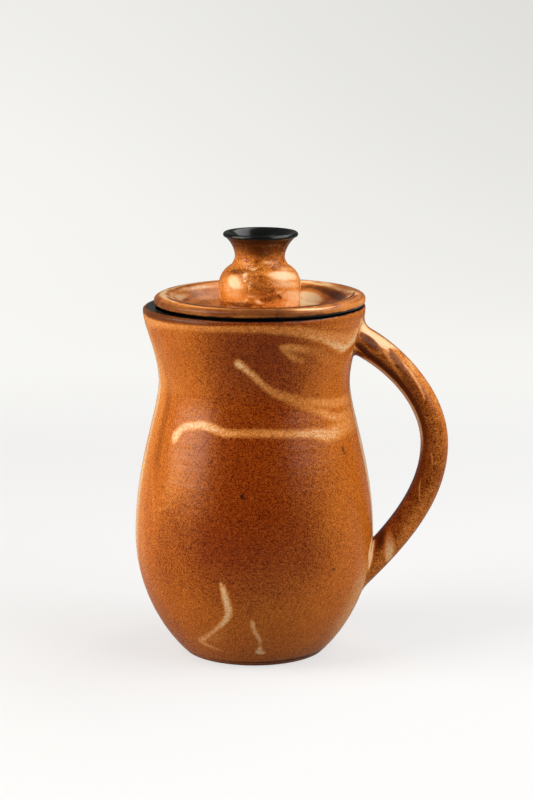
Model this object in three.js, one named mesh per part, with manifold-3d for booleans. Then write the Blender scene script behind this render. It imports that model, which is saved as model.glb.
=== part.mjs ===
// A lidded terracotta pitcher: a thrown body with a pulled handle, and a loose dish lid with a hollow knob.
// Millimetres, +Z up. The origin is on the body's axis, on the surface that the foot stands on.
// The handle reaches towards +X.

import * as THREE from 'three';
import { mergeVertices } from 'three/addons/utils/BufferGeometryUtils.js';
import Module from 'manifold-3d';

const wasm = await Module();
wasm.setup();

// Fits between the pieces
const seatGap = 0.3; // where one piece rests on or is luted to another
const bowlClearance = 1.2; // least gap between the lid's bowl and the mouth
const lidShift = 2.7; // how far the loose lid lies off the body's axis, towards the handle

// Thrown body, outside
const bodyHeight = 172; // foot to the top of the lip
const footRadius = 36.2; // just above the foot's bevel
const footBevel = 0.8;
const footSlope = 44; // degrees that the wall climbs at above the foot
const bellyRadius = 58.7;
const bellyHeight = 58;
const neckRadius = 46.7;
const neckHeight = 134.3;
const rimRadius = 54;

// Thrown body, walls
const wallThickness = 5.2;
const floorThickness = 7;
const floorCove = 9; // height of the rounding between floor and wall
const lipThickness = 6.5; // the wall is left thicker at the lip, for the lid to rest on
const lipRise = 2; // height of the rounded lip
const lipSquareness = 4; // 2 is an ellipse, and more is flatter on top

// Body curves: how far each keeps to its end's direction, as a share of the height that it climbs
const flankAtFoot = 0.22;
const flankAtBelly = 0.49;
const shoulderAtBelly = 0.465;
const shoulderAtNeck = 0.19;
const collarAtNeck = 0.38;
const collarAtRim = 0.2;

// Pulled handle
const upperRootDrop = 17.3; // from the lip down to the middle of the upper root
const lowerRootHeight = 41.6;
const lowerRootInset = 1.1; // how far inside the wall's face the strap's middle line ends there
const upperRootAngle = 26.5; // degrees that the strap falls at as it leaves the body
const lowerRootAngle = 45.8; // degrees that it falls at as it comes back
const gripReach = 88.25; // body's axis to the middle of the strap at its furthest
const gripHeight = 102.2;
const strapWidth = 21;
const strapThickness = 13.4;
const rootWidth = 25;
const upperRootThickness = 14.4;
const lowerRootThickness = 13.2;
const rootTail = 17; // clay beyond each root, pared away to the curve of the wall
const slimmingShare = 0.6; // share of each half of the strap that it slims down over
const strapFlatness = 0.85; // 1 is an elliptical section, and less is flatter on the faces
const strapAtUpperRoot = 0.37; // curve shares, of the height between root and grip
const strapAtGripAbove = 0.44;
const strapAtGripBelow = 0.39;
const strapAtLowerRoot = 0.39;

// Lid
const lidOverhang = 2.7; // from the lid's edge out to the body's rim, before the lid is shifted
const lidRimHeight = 5.3;
const lidEdgeRounding = 1.3;
const lidCrestInset = 5.7; // from the lid's edge in to the crest of its rolled rim
const dishDepth = 8.6; // crest to the dish's floor
const dishFloorRadius = 30;
const dishFloorThickness = 5;
const bowlCornerRounding = 13; // where the bowl's underside turns up
const dishAtCrest = 0.3; // curve shares, of the dish wall's run
const dishAtFloor = 0.48;
const roundingShare = 0.6; // how far the small roundings keep to their ends' directions

// Knob
const knobHeight = 37.9; // dish floor to the top of the lip
const knobFootRadius = 19.4;
const knobBellyRadius = 19.9;
const knobBellyHeight = 11.5;
const knobShoulderRadius = 13.9;
const knobShoulderHeight = 21.7;
const knobNeckRadius = 12.1;
const knobNeckHeight = 25.6;
const knobLipRadius = 18.3;
const knobLipSlope = 18; // degrees above level that the flare ends at
const knobLipThickness = 2.2;
const knobLipSquareness = 2;
const knobWall = 3.6;
const knobFloor = 4;
const knobCove = 4;
const knobBellyShare = 0.3; // curve shares, of the height that each curve climbs
const knobShoulderShare = 0.75;
const knobCollarShare = 0.37;
const knobFlareShare = 0.48;
const knobLipShare = 0.15;

// Facets
const bodySides = 56;
const flankSteps = 8;
const shoulderSteps = 7;
const collarSteps = 6;
const lipSteps = 6;
const coveSteps = 5;
const lidSteps = { bowl: 6, edge: 4, rim: 4, dish: 7 };
const knobSides = 32;
const knobFootSteps = 2;
const knobShoulderSteps = 6;
const knobCollarSteps = 3;
const knobFlareSteps = 5;
const strapSides = 16;
const strapSteps = 16; // along each half of the strap
const weldDistance = 1e-4; // corners nearer than this are one

const vec2 = (x, y) => new THREE.Vector2(x, y);
const upBy = (distance) => vec2(0, distance);
const { degToRad, lerp, mapLinear, smoothstep } = THREE.MathUtils;

// The direction that climbs at a slope in degrees.
function slopeOf(degrees) {
  return vec2(Math.cos(degToRad(degrees)), Math.sin(degToRad(degrees)));
}

// A curve between two points of a half section. Each pull is the way, and how far, that the curve keeps to
// its direction at that end.
function bend(from, fromPull, to, toPull, steps) {
  const curve = new THREE.CubicBezierCurve(from, from.clone().add(fromPull), to.clone().add(toPull), to);
  return curve.getPoints(steps);
}

function signedPower(value, power) {
  return Math.sign(value) * Math.abs(value) ** power;
}

// Joins curves that share their end points into one line of points.
function chain(...curves) {
  return curves.flatMap((points, i) => (i === 0 ? points : points.slice(1)));
}

// The rounded edge over a lip, from its outer to its inner end. It stands up by rise along the wall.
function lipArc(outer, inner, direction, rise, squareness) {
  const middle = outer.clone().add(inner).multiplyScalar(0.5);
  const half = outer.clone().sub(middle);
  const points = [];
  for (let i = 1; i < lipSteps; i += 1) {
    const angle = (Math.PI * i) / lipSteps;
    const across = signedPower(Math.cos(angle), 2 / squareness);
    const along = rise * Math.sin(angle) ** (2 / squareness);
    points.push(middle.clone().addScaledVector(half, across).addScaledVector(direction, along));
  }
  return points;
}

// The direction of a line of points at one of them.
function directionAt(points, i) {
  const before = points[Math.max(i - 1, 0)];
  const after = points[Math.min(i + 1, points.length - 1)];
  return after.clone().sub(before).normalize();
}

// The inside of a thrown wall: each outside point moved in by the wall's thickness there.
function insideOf(outside, thicknessAt) {
  return outside.map((point, i) => {
    const direction = directionAt(outside, i);
    const inward = vec2(-direction.y, direction.x);
    return point.clone().addScaledVector(inward, thicknessAt(point.y));
  });
}

// The inside of the wall down to a coved floor, from the lip to the axis.
function downToFloor(inside, floorTop, cove) {
  const wall = inside.filter((point) => point.y > floorTop + cove).reverse();
  const last = wall[wall.length - 1];
  const slope = last.clone().sub(wall[wall.length - 2]).normalize();
  const corner = last.clone().addScaledVector(slope, (floorTop - last.y) / slope.y);
  const foot = vec2(corner.x - cove, floorTop);
  const rounding = new THREE.QuadraticBezierCurve(last, corner, foot).getPoints(coveSteps).slice(1);
  return [...wall, ...rounding, vec2(0, floorTop)];
}

// Turns a half section, given as radius and height, about the Z axis.
function turned(halfSection, sides) {
  const geometry = new THREE.LatheGeometry(halfSection, sides);
  geometry.rotateX(Math.PI / 2);
  return geometry;
}

function toSolid(geometry) {
  const bare = geometry.clone();
  bare.deleteAttribute('normal');
  bare.deleteAttribute('uv');
  const merged = mergeVertices(bare, weldDistance);
  const corners = merged.index.array;
  const triVerts = [];
  for (let i = 0; i < corners.length; i += 3) {
    const [a, b, c] = corners.slice(i, i + 3);
    if (a !== b && b !== c && c !== a) {
      triVerts.push(a, b, c);
    }
  }
  return new wasm.Manifold(new wasm.Mesh({
    numProp: 3,
    vertProperties: merged.attributes.position.array,
    triVerts: new Uint32Array(triVerts),
  }));
}

function toGeometry(solid) {
  const mesh = solid.getMesh();
  const geometry = new THREE.BufferGeometry();
  geometry.setAttribute('position', new THREE.BufferAttribute(mesh.vertProperties, 3));
  geometry.setIndex(new THREE.BufferAttribute(mesh.triVerts, 1));
  geometry.computeVertexNormals();
  return geometry;
}

function piece(name, geometry, colour, roughness) {
  const material = new THREE.MeshStandardMaterial({ color: colour, roughness, metalness: 0 });
  const mesh = new THREE.Mesh(geometry, material);
  mesh.name = name;
  return mesh;
}

// Body, outside: up the flank to the belly, in to the neck and out again to the rim.
function bodyOutside() {
  const foot = vec2(footRadius, footBevel);
  const belly = vec2(bellyRadius, bellyHeight);
  const neck = vec2(neckRadius, neckHeight);
  const rim = vec2(rimRadius, bodyHeight - lipRise);
  const flank = belly.y - foot.y;
  const shoulder = neck.y - belly.y;
  const collar = rim.y - neck.y;
  const fromFoot = slopeOf(footSlope).multiplyScalar(flank * flankAtFoot);
  return chain(
    bend(foot, fromFoot, belly, upBy(-flank * flankAtBelly), flankSteps),
    bend(belly, upBy(shoulder * shoulderAtBelly), neck, upBy(-shoulder * shoulderAtNeck), shoulderSteps),
    bend(neck, upBy(collar * collarAtNeck), rim, upBy(-collar * collarAtRim), collarSteps),
  );
}

function bodyThickness(height) {
  return lerp(wallThickness, lipThickness, smoothstep(height, neckHeight, bodyHeight - lipRise));
}

function makeVessel() {
  const outside = bodyOutside();
  const inside = insideOf(outside, bodyThickness);
  const outerLip = outside[outside.length - 1];
  const innerLip = vec2(rimRadius - lipThickness, outerLip.y);
  inside[inside.length - 1] = innerLip;
  const halfSection = [
    vec2(0, 0),
    vec2(footRadius - footBevel, 0),
    ...outside,
    ...lipArc(outerLip, innerLip, vec2(0, 1), lipRise, lipSquareness),
    ...downToFloor(inside, floorThickness, floorCove),
  ];
  return piece('vessel', turned(halfSection, bodySides), '#a85a24', 0.45);
}

// The outside radius of the body at a height.
function bodyRadiusAt(height) {
  const outside = bodyOutside();
  const above = outside.findIndex((point) => point.y >= height);
  if (above <= 0) {
    return outside[above === 0 ? 0 : outside.length - 1].x;
  }
  const low = outside[above - 1];
  const high = outside[above];
  return mapLinear(height, low.y, high.y, low.x, high.x);
}

// The space that the handle's ends keep clear of: the body without its hollow, grown by the seat's gap.
function bodySpace() {
  const outside = bodyOutside().map((point) => vec2(point.x + seatGap, point.y));
  const halfSection = [
    vec2(0, 0),
    vec2(outside[0].x, 0),
    ...outside,
    vec2(outside[outside.length - 1].x, bodyHeight),
    vec2(0, bodyHeight),
  ];
  return toSolid(turned(halfSection, bodySides));
}

// The middle line of the strap, from inside the wall at the upper root to inside it at the lower root.
function strapPath() {
  const upperHeight = bodyHeight - upperRootDrop;
  const upper = new THREE.Vector3(bodyRadiusAt(upperHeight), 0, upperHeight);
  const lower = new THREE.Vector3(bodyRadiusAt(lowerRootHeight) - lowerRootInset, 0, lowerRootHeight);
  const grip = new THREE.Vector3(gripReach, 0, gripHeight);
  const fall = slopeOf(-upperRootAngle);
  const back = slopeOf(180 + lowerRootAngle);
  const leave = new THREE.Vector3(fall.x, 0, fall.y);
  const arrive = new THREE.Vector3(back.x, 0, back.y);
  const upperRise = upper.z - grip.z;
  const lowerRise = grip.z - lower.z;
  const path = new THREE.CurvePath();
  path.add(new THREE.LineCurve3(upper.clone().addScaledVector(leave, -rootTail), upper));
  path.add(new THREE.CubicBezierCurve3(
    upper,
    upper.clone().addScaledVector(leave, upperRise * strapAtUpperRoot),
    new THREE.Vector3(grip.x, 0, grip.z + upperRise * strapAtGripAbove),
    grip,
  ));
  path.add(new THREE.CubicBezierCurve3(
    grip,
    new THREE.Vector3(grip.x, 0, grip.z - lowerRise * strapAtGripBelow),
    lower.clone().addScaledVector(arrive, -lowerRise * strapAtLowerRoot),
    lower,
  ));
  path.add(new THREE.LineCurve3(lower, lower.clone().addScaledVector(arrive, rootTail)));
  return path;
}

// A point and direction along the strap, with its section there. fromRoot is 0 at the root and 1 at the grip.
function stationOf(curve, t, fromRoot, rootThickness) {
  const slimming = smoothstep(fromRoot, 0, slimmingShare);
  return {
    at: curve.getPoint(t),
    along: curve.getTangent(t),
    halfWidth: lerp(rootWidth, strapWidth, slimming) / 2,
    halfThickness: lerp(rootThickness, strapThickness, slimming) / 2,
  };
}

function strapStations() {
  const [upperTail, upperHalf, lowerHalf, lowerTail] = strapPath().curves;
  const stations = [stationOf(upperTail, 0, 0, upperRootThickness)];
  for (let i = 0; i <= strapSteps; i += 1) {
    stations.push(stationOf(upperHalf, i / strapSteps, i / strapSteps, upperRootThickness));
  }
  for (let i = 1; i <= strapSteps; i += 1) {
    stations.push(stationOf(lowerHalf, i / strapSteps, 1 - i / strapSteps, lowerRootThickness));
  }
  stations.push(stationOf(lowerTail, 1, 0, lowerRootThickness));
  return stations;
}

// The strap as one closed sweep of a rounded section, wider than it is thick.
function strapGeometry() {
  const stations = strapStations();
  const positions = [];
  const indices = [];
  const sideways = new THREE.Vector3(0, 1, 0);
  for (const { at, along, halfWidth, halfThickness } of stations) {
    const outward = new THREE.Vector3().crossVectors(along, sideways);
    for (let j = 0; j < strapSides; j += 1) {
      const angle = (2 * Math.PI * j) / strapSides;
      const across = signedPower(Math.sin(angle), strapFlatness) * halfWidth;
      const through = Math.cos(angle) * halfThickness;
      const corner = at.clone().addScaledVector(outward, through).addScaledVector(sideways, across);
      positions.push(corner.x, corner.y, corner.z);
    }
  }
  const ring = (i, j) => i * strapSides + (j % strapSides);
  for (let i = 0; i < stations.length - 1; i += 1) {
    for (let j = 0; j < strapSides; j += 1) {
      indices.push(ring(i, j), ring(i + 1, j), ring(i + 1, j + 1));
      indices.push(ring(i, j), ring(i + 1, j + 1), ring(i, j + 1));
    }
  }
  const first = positions.length / 3;
  const last = first + 1;
  for (const { at } of [stations[0], stations[stations.length - 1]]) {
    positions.push(at.x, at.y, at.z);
  }
  for (let j = 0; j < strapSides; j += 1) {
    indices.push(first, ring(0, j), ring(0, j + 1));
    indices.push(last, ring(stations.length - 1, j + 1), ring(stations.length - 1, j));
  }
  const geometry = new THREE.BufferGeometry();
  geometry.setAttribute('position', new THREE.Float32BufferAttribute(positions, 3));
  geometry.setIndex(indices);
  return geometry;
}

function makeHandle() {
  const strap = toSolid(strapGeometry());
  const fitted = strap.subtract(bodySpace());
  return piece('handle', toGeometry(fitted), '#9c5020', 0.45);
}

// Lid, about its own axis, with the flat under its rim at height 0.
const lidRadius = rimRadius - lidOverhang;
const bowlRadius = rimRadius - lipThickness - lidShift - bowlClearance;
const dishFloorTop = lidRimHeight - dishDepth;

function makeLid() {
  const floorBottom = dishFloorTop - dishFloorThickness;
  const rimFoot = vec2(lidRadius - lidEdgeRounding, 0);
  const edge = vec2(lidRadius, lidRimHeight * 0.5);
  const crest = vec2(lidRadius - lidCrestInset, lidRimHeight);
  const dishEdge = vec2(dishFloorRadius, dishFloorTop);
  const dishWall = crest.x - dishFloorRadius;
  const bowlFoot = vec2(bowlRadius - bowlCornerRounding, floorBottom);
  const cornerPull = vec2(bowlCornerRounding * roundingShare, 0);
  const footPull = vec2(lidEdgeRounding * roundingShare, 0);
  const edgePull = upBy(edge.y * roundingShare);
  const crestPull = vec2(lidCrestInset * roundingShare, 0);
  const halfSection = [
    vec2(0, floorBottom),
    ...bend(bowlFoot, cornerPull, vec2(bowlRadius, 0), vec2(0, floorBottom * roundingShare), lidSteps.bowl),
    ...chain(
      bend(rimFoot, footPull, edge, edgePull.clone().negate(), lidSteps.edge),
      bend(edge, edgePull, crest, crestPull, lidSteps.rim),
      bend(crest, vec2(-dishWall * dishAtCrest, 0), dishEdge, vec2(dishWall * dishAtFloor, 0), lidSteps.dish),
    ),
    vec2(0, dishFloorTop),
  ];
  return piece('lid', turned(halfSection, bodySides), '#a4561f', 0.4);
}

// Knob outside, with the dish floor at height 0: a small flared bottle.
function knobOutside() {
  const foot = vec2(knobFootRadius, 0);
  const belly = vec2(knobBellyRadius, knobBellyHeight);
  const shoulder = vec2(knobShoulderRadius, knobShoulderHeight);
  const neck = vec2(knobNeckRadius, knobNeckHeight);
  const slope = slopeOf(knobLipSlope);
  const halfLip = knobLipThickness / 2;
  const lip = vec2(knobLipRadius - halfLip * (1 - slope.y), knobHeight - halfLip * (1 + slope.x));
  const level = vec2(0, 0);
  const bellyPull = upBy(belly.y * knobBellyShare);
  const shoulderPull = upBy((shoulder.y - belly.y) * knobShoulderShare);
  const collarPull = upBy((shoulder.y - neck.y) * knobCollarShare);
  const flarePull = upBy((lip.y - neck.y) * knobFlareShare);
  const lipPull = slope.multiplyScalar((neck.y - lip.y) * knobLipShare);
  return chain(
    bend(foot, bellyPull, belly, bellyPull.clone().negate(), knobFootSteps),
    bend(belly, shoulderPull, shoulder, level, knobShoulderSteps),
    bend(shoulder, level, neck, collarPull, knobCollarSteps),
    bend(neck, flarePull, lip, lipPull, knobFlareSteps),
  );
}

function knobThickness(height) {
  return lerp(knobWall, knobLipThickness, smoothstep(height, knobNeckHeight, knobHeight));
}

function makeKnob() {
  const outside = knobOutside();
  const inside = insideOf(outside, knobThickness);
  const last = outside.length - 1;
  const direction = directionAt(outside, last);
  const halfSection = [
    vec2(0, 0),
    ...outside,
    ...lipArc(outside[last], inside[last], direction, knobLipThickness / 2, knobLipSquareness),
    ...downToFloor(inside, knobFloor, knobCove),
  ];
  return piece('knob', turned(halfSection, knobSides), '#b06428', 0.4);
}

// Assembly: the lid lies on the lip, shifted towards the handle, and carries the knob.
const knob = makeKnob();
knob.position.z = dishFloorTop + seatGap;

const lidAssembly = new THREE.Group();
lidAssembly.add(makeLid(), knob);
lidAssembly.position.set(lidShift, 0, bodyHeight + seatGap);

const pitcher = new THREE.Group();
pitcher.add(makeVessel(), makeHandle(), lidAssembly);

export default pitcher;
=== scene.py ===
import math

import bpy
import numpy as np
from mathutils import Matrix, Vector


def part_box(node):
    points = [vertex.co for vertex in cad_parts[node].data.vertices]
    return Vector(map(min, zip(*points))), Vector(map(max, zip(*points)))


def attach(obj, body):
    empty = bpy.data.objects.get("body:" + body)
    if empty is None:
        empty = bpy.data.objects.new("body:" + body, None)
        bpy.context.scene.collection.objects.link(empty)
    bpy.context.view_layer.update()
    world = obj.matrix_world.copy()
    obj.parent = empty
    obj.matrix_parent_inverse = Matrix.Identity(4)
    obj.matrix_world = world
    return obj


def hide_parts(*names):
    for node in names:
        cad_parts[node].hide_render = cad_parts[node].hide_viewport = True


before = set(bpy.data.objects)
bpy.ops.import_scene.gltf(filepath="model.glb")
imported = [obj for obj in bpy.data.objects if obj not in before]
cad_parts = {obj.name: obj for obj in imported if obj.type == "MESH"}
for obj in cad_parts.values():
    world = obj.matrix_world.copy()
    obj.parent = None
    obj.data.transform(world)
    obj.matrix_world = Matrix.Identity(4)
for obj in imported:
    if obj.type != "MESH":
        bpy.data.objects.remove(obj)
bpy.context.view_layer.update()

# Sizes are in millimetres here, as the source of the solids has them, and turn into metres in the meshes.
MM = 0.001

scene = bpy.context.scene


def node_box(node):
    """The corners of a node's box in the solids' frame."""
    low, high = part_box(node)
    return np.array(low) / MM, np.array(high) / MM


vessel_high = node_box("vessel")[1]
handle_high = node_box("handle")[1]
lid_low, lid_high = node_box("lid")
knob_low, knob_high = node_box("knob")

# Thrown body
body_height = vessel_high[2]
belly_radius = vessel_high[0]
belly_height = 58
foot_radius = 36.2
foot_bevel = 1.5
foot_slope = 44
neck_radius = 46.7
neck_height = 134.3
rim_radius = 54
wall = 5.2
floor_thickness = 7
floor_cove = 9
lip_thickness = 6.5
lip_rise = 2
lip_squareness = 4
flank_pulls = (0.22, 0.49)  # shares of a stretch over which its curve keeps to the directions at its ends
shoulder_pulls = (0.465, 0.19)
collar_pulls = (0.38, 0.2)
rim_dip = 1.3  # how far the rim dips behind on the left
rim_dip_reach = 30  # and over what height under the lip
lip_brown = 1.4  # how much farther the brown climbs over the lip on the left

# Pulled handle
upper_root_drop = 17.3
lower_root_height = 41.6
lower_root_inset = 1.1
upper_root_angle = 26.5
lower_root_angle = 45.8
strap_width = 21
strap_thickness = 13.4
root_width = 25
upper_root_thickness = 14.4
lower_root_thickness = 13.2
root_tail = 17
slimming_share = 0.6
strap_flatness = 0.85
strap_waves = 0.015  # the share by which its width wanders
strap_wave_room = 0.15  # and what the strap is narrower by for it, on each side
grip_reach = handle_high[0] - strap_thickness / 2
grip_height = 102.2
strap_pulls = (0.37, 0.44, 0.39, 0.39)
upper_fillet = 2.2
upper_smears = (3.3, 4.6)  # what the clay smeared on the outer face adds, along the strap and up the wall
lower_fillet = 1.4
fillet_sink = 0.12  # how deep the edge of a fillet lies in the wall

# Lid
lid_shift = (lid_low[0] + lid_high[0]) / 2
lid_radius = (lid_high[0] - lid_low[0]) / 2
lid_rim_height = 5.3
lid_seat = lid_high[2] - lid_rim_height
lid_edge_rounding = 1.3
lid_crest_inset = 5.7
dish_depth = 8.6
dish_floor_radius = 30
dish_pulls = (0.3, 0.48)
bowl_radius = 43.6
bowl_corner_rounding = 13
round_pull = 0.6  # the pull that makes a rounding of a bend, as a share of its size
rim_droop = 0.6  # how far the lid's rim droops behind on the left
black_rise = 1.2  # how far the black glaze comes up round the lid's lower edge
black_wander = 0.4

# Knob
knob_foot_radius = 19.4
knob_belly_radius = (knob_high[1] - knob_low[1]) / 2
knob_belly_height = 11.5
knob_shoulder = (13.9, 21.7)
knob_neck = (12.1, 25.6)
knob_lip_radius = 18.3
knob_lip_slope = 18
knob_lip_thickness = 2.2
knob_wave_room = 0.1
knob_height = knob_high[2] - knob_low[2] - knob_wave_room
knob_wall = 3.6
knob_floor = 4
knob_lean = 0.45
knob_foot_inset = 0.5
knob_pulls = (0.3, 0.75, 0.37, 0.48, 0.15)

# Fingers' marks in the clay: the grooves' pitch and depth, and how far a wall wanders from round
body_pitch = 6.5
body_groove = 0.1
body_inner_groove = 0.35
body_wander = 0.12
lid_pitch = 5.2
lid_groove = 0.14
lid_wander = 0.12
knob_pitch = 3.4
knob_groove = 0.05
knob_wander = 0.04

# Meshes: the points round each piece, and the steps between its rows
pot_around = 256  # and round the lid
body_step = 0.85
body_inner_step = 1.6
strap_around = 96
strap_step = 0.2
strap_rows = 190
tail_rows = 13
fillet_rows = 14
bowl_step = 1
rim_step = 0.35
dish_step = 0.6
knob_around = 192
knob_step = 0.42
knob_inner_step = 0.8

# Marks: how a stroke fades, in half widths off its line, and how far round its path it is looked for
stroke_fade = (1.35, 0.3)
stroke_room = 20

# Tone of the glaze, from 0, brown, over 0.8, light, to 1, thin.
# The body's values below paint light and shade into it, as the light falls.
far_side_painted_light = 0.72
near_side_painted_light = 0.7
far_edge_painted_reflection = 0.3
collar_painted_light = 0.12
low_painted_shade = 0.45
low_flank_painted_light = 0.32
foot_tone = 0.78
foot_far_painted_shade = 0.2
foot_flank_painted_light = 0.24
strap_tone = 0.35
lid_tone = 0.62
lid_rim_shade = 0.2
knob_tone = 0.6
no_black = -50  # the distance past the black glaze's edge, on a piece that has none

# Camera and stage, in metres
camera_place = (0.00598, -1.1484, 0.360)
camera_pitch = 11.6
camera_lens = 108
camera_sensor = 36
lit_point = (0, 0, 0.1)
warm_light = (1, 0.93, 0.8)
floor_grey = 0.30
floor_glow = 0.59
floor_tint = (1, 0.995, 0.985, 1)
backdrop_glow = 0.945
backdrop_tint = (1, 0.992, 0.958, 1)
room_front = 0.05
room_back = 0.16
room_white = 0.93
room_tint = (1, 0.995, 0.98, 1)
glossy_share = 0.17  # of the background's light, which a satin glaze sends back


# Half sections

def bend(start, start_pull, end, end_pull, steps=60):
    """Points (radius, height) on a curve between two points, which keeps to the pulls at its ends."""
    a, d = np.array(start, float), np.array(end, float)
    b, c = a + start_pull, d + end_pull
    t = np.linspace(0, 1, steps + 1)[:, None]
    return (1 - t) ** 3 * a + 3 * (1 - t) ** 2 * t * b + 3 * (1 - t) * t**2 * c + t**3 * d


def slope(degrees):
    return np.array([math.cos(math.radians(degrees)), math.sin(math.radians(degrees))])


def chain(*curves):
    return np.vstack([curves[0], *(c[1:] for c in curves[1:])])


def run_along(line):
    """How far each point of a line is from its start, along it."""
    return np.concatenate([[0], np.cumsum(np.linalg.norm(np.diff(line, axis=0), axis=1))])


def spaced(points, step):
    """The same line with its points a step apart."""
    lengths = run_along(points)
    count = max(2, round(lengths[-1] / step) + 1)
    at = np.linspace(0, lengths[-1], count)
    return np.column_stack([np.interp(at, lengths, points[:, k]) for k in range(points.shape[1])])


def directions(points):
    along = np.gradient(points, axis=0)
    return along / np.linalg.norm(along, axis=1, keepdims=True)


def ease(low, high, value):
    """0 where value is at low, or past it, 1 at high, and eased between them. low may be the greater."""
    t = np.clip((value - low) / (high - low), 0, 1)
    return t * t * (3 - 2 * t)


def leftward(points):
    """The directions across a line, to its left."""
    along = directions(points)
    return np.column_stack([-along[:, 1], along[:, 0]])


def inside_of(outside, thickness):
    return outside + leftward(outside) * thickness[:, None]


def lip_arc(outer, inner, direction, rise, squareness, steps=16):
    middle = (outer + inner) / 2
    angle = np.linspace(0, math.pi, steps + 1)[1:-1]
    across = np.sign(np.cos(angle)) * np.abs(np.cos(angle)) ** (2 / squareness)
    along = rise * np.sin(angle) ** (2 / squareness)
    return middle + across[:, None] * (outer - middle) + along[:, None] * direction


def down_to_floor(inside, floor, cove, step):
    """The hollow's line from the lip down the wall, round a cove and over the floor to the axis."""
    line = inside[inside[:, 1] > floor + cove][::-1]
    last = line[-1]
    fall = last - line[-2]
    corner = last + fall * (floor - last[1]) / fall[1]
    foot = np.array([corner[0] - cove, floor])
    t = np.linspace(0, 1, 15)[1:-1, None]
    rounding = (1 - t) ** 2 * last + 2 * (1 - t) * t * corner + t**2 * foot
    floor_line = np.linspace(foot, (0, floor), 12)[1:]
    return np.vstack([spaced(np.vstack([line, rounding]), step), floor_line])


def body_outside():
    foot = (foot_radius, foot_bevel)
    belly = (belly_radius, belly_height)
    neck = (neck_radius, neck_height)
    rim = (rim_radius, body_height - lip_rise)
    flank = belly[1] - foot[1]
    shoulder = neck[1] - belly[1]
    collar = rim[1] - neck[1]
    return chain(
        bend(foot, slope(foot_slope) * flank * flank_pulls[0], belly, (0, -flank * flank_pulls[1])),
        bend(belly, (0, shoulder * shoulder_pulls[0]), neck, (0, -shoulder * shoulder_pulls[1])),
        bend(neck, (0, collar * collar_pulls[0]), rim, (0, -collar * collar_pulls[1])),
    )


body_line = spaced(body_outside(), body_step)


def body_radius(height):
    return np.interp(height, body_line[:, 1], body_line[:, 0])


def knob_outside():
    belly = (knob_belly_radius, knob_belly_height)
    climb = slope(knob_lip_slope)
    half_lip = knob_lip_thickness / 2
    lip = (knob_lip_radius - half_lip * (1 - climb[1]), knob_height - half_lip * (1 + climb[0]))
    belly_pull, shoulder_pull, neck_pull, flare_pull, lip_pull = knob_pulls
    shoulder_rise = knob_shoulder[1] - belly[1]
    neck_rise = knob_neck[1] - knob_shoulder[1]
    flare_rise = lip[1] - knob_neck[1]
    return chain(
        bend((knob_foot_radius, 0), (0, belly[1] * belly_pull), belly, (0, -belly[1] * belly_pull)),
        bend(belly, (0, shoulder_rise * shoulder_pull), knob_shoulder, (0, 0)),
        bend(knob_shoulder, (0, 0), knob_neck, (0, -neck_rise * neck_pull)),
        bend(knob_neck, (0, flare_rise * flare_pull), lip, -climb * flare_rise * lip_pull),
    )


# Hand-made unevenness: waves whose phases are fixed here, so that each run gives the same clay.

def waves(value, pitches, phases):
    total = sum(np.sin(2 * math.pi * value / pitch + phase) for pitch, phase in zip(pitches, phases))
    return total / len(pitches)


def throwing_lines(height, angle, pitch):
    """From 0 to 1: the shallow spiral grooves that fingers leave in turning clay."""
    climb = height + pitch * angle / (2 * math.pi)
    lines = waves(climb, (pitch, pitch * 1.73, pitch * 0.61), (0.4, 2.1, 4.4))
    return 0.5 + 0.5 * lines


def out_of_round(height, angle):
    """From 0 to 1: a slow wander of the wall round the pot."""
    triple = 0.6
    lobes = np.sin(2 * angle + 0.7 + height / 70) + triple * np.sin(3 * angle + 2.2 - height / 45)
    return 0.5 + lobes / (2 * (1 + triple))


def towards(points, azimuth, spread):
    """1 at an azimuth in degrees round the pot, falling to 0 over the spread on both sides of it."""
    angle = np.degrees(turn_of(points))
    away = (angle - azimuth + 180) % 360 - 180
    return np.exp(-(away / spread) ** 2)


# Marks on a surface

def strokes(table):
    """The strokes of a table, where a comma parts rows and a semicolon strokes. A row is two measures of a
    place on the surface, the half width in millimetres and the strength in hundredths."""
    split = [[row.split() for row in stroke.split(",")] for stroke in table.split(";")]
    return [np.array(rows, float) / (1, 1, 1, 100) for rows in split]


def smooth_line(rows, per_span=8):
    """A line of rows through all the given ones, rounded at each."""
    padded = np.vstack([2 * rows[0] - rows[1], rows, 2 * rows[-1] - rows[-2]])
    line = [rows[0]]
    for i in range(len(rows) - 1):
        p, q, r, s = padded[i:i + 4]
        for t in np.linspace(0, 1, per_span + 1)[1:]:
            point = 2 * q + (r - p) * t + (2 * p - 5 * q + 4 * r - s) * t**2
            line.append(0.5 * (point + (3 * q - p - 3 * r + s) * t**3))
    return np.array(line)


def stroke_cover(points, marks, place):
    """How strongly marks, a list of strokes, cover each point. place turns a row's two measures into a
    point on the surface."""
    cover = np.zeros(len(points))
    for rows in marks:
        line = smooth_line(rows)
        path = place(line[:, 0], line[:, 1])
        reach = np.ptp(path, axis=0).max() + stroke_room
        near = np.linalg.norm(points - path.mean(axis=0), axis=1) < reach
        local = points[near]
        best = cover[near]
        for i in range(len(path) - 1):
            step = path[i + 1] - path[i]
            share = np.clip((local - path[i]) @ step / max(step @ step, 1e-9), 0, 1)
            away = np.linalg.norm(local - path[i] - share[:, None] * step, axis=1)
            half_width = line[i, 2] + (line[i + 1, 2] - line[i, 2]) * share
            strength = line[i, 3] + (line[i + 1, 3] - line[i, 3]) * share
            best = np.maximum(best, strength * ease(*stroke_fade, away / half_width))
        cover[near] = best
    return cover


# Meshes

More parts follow.
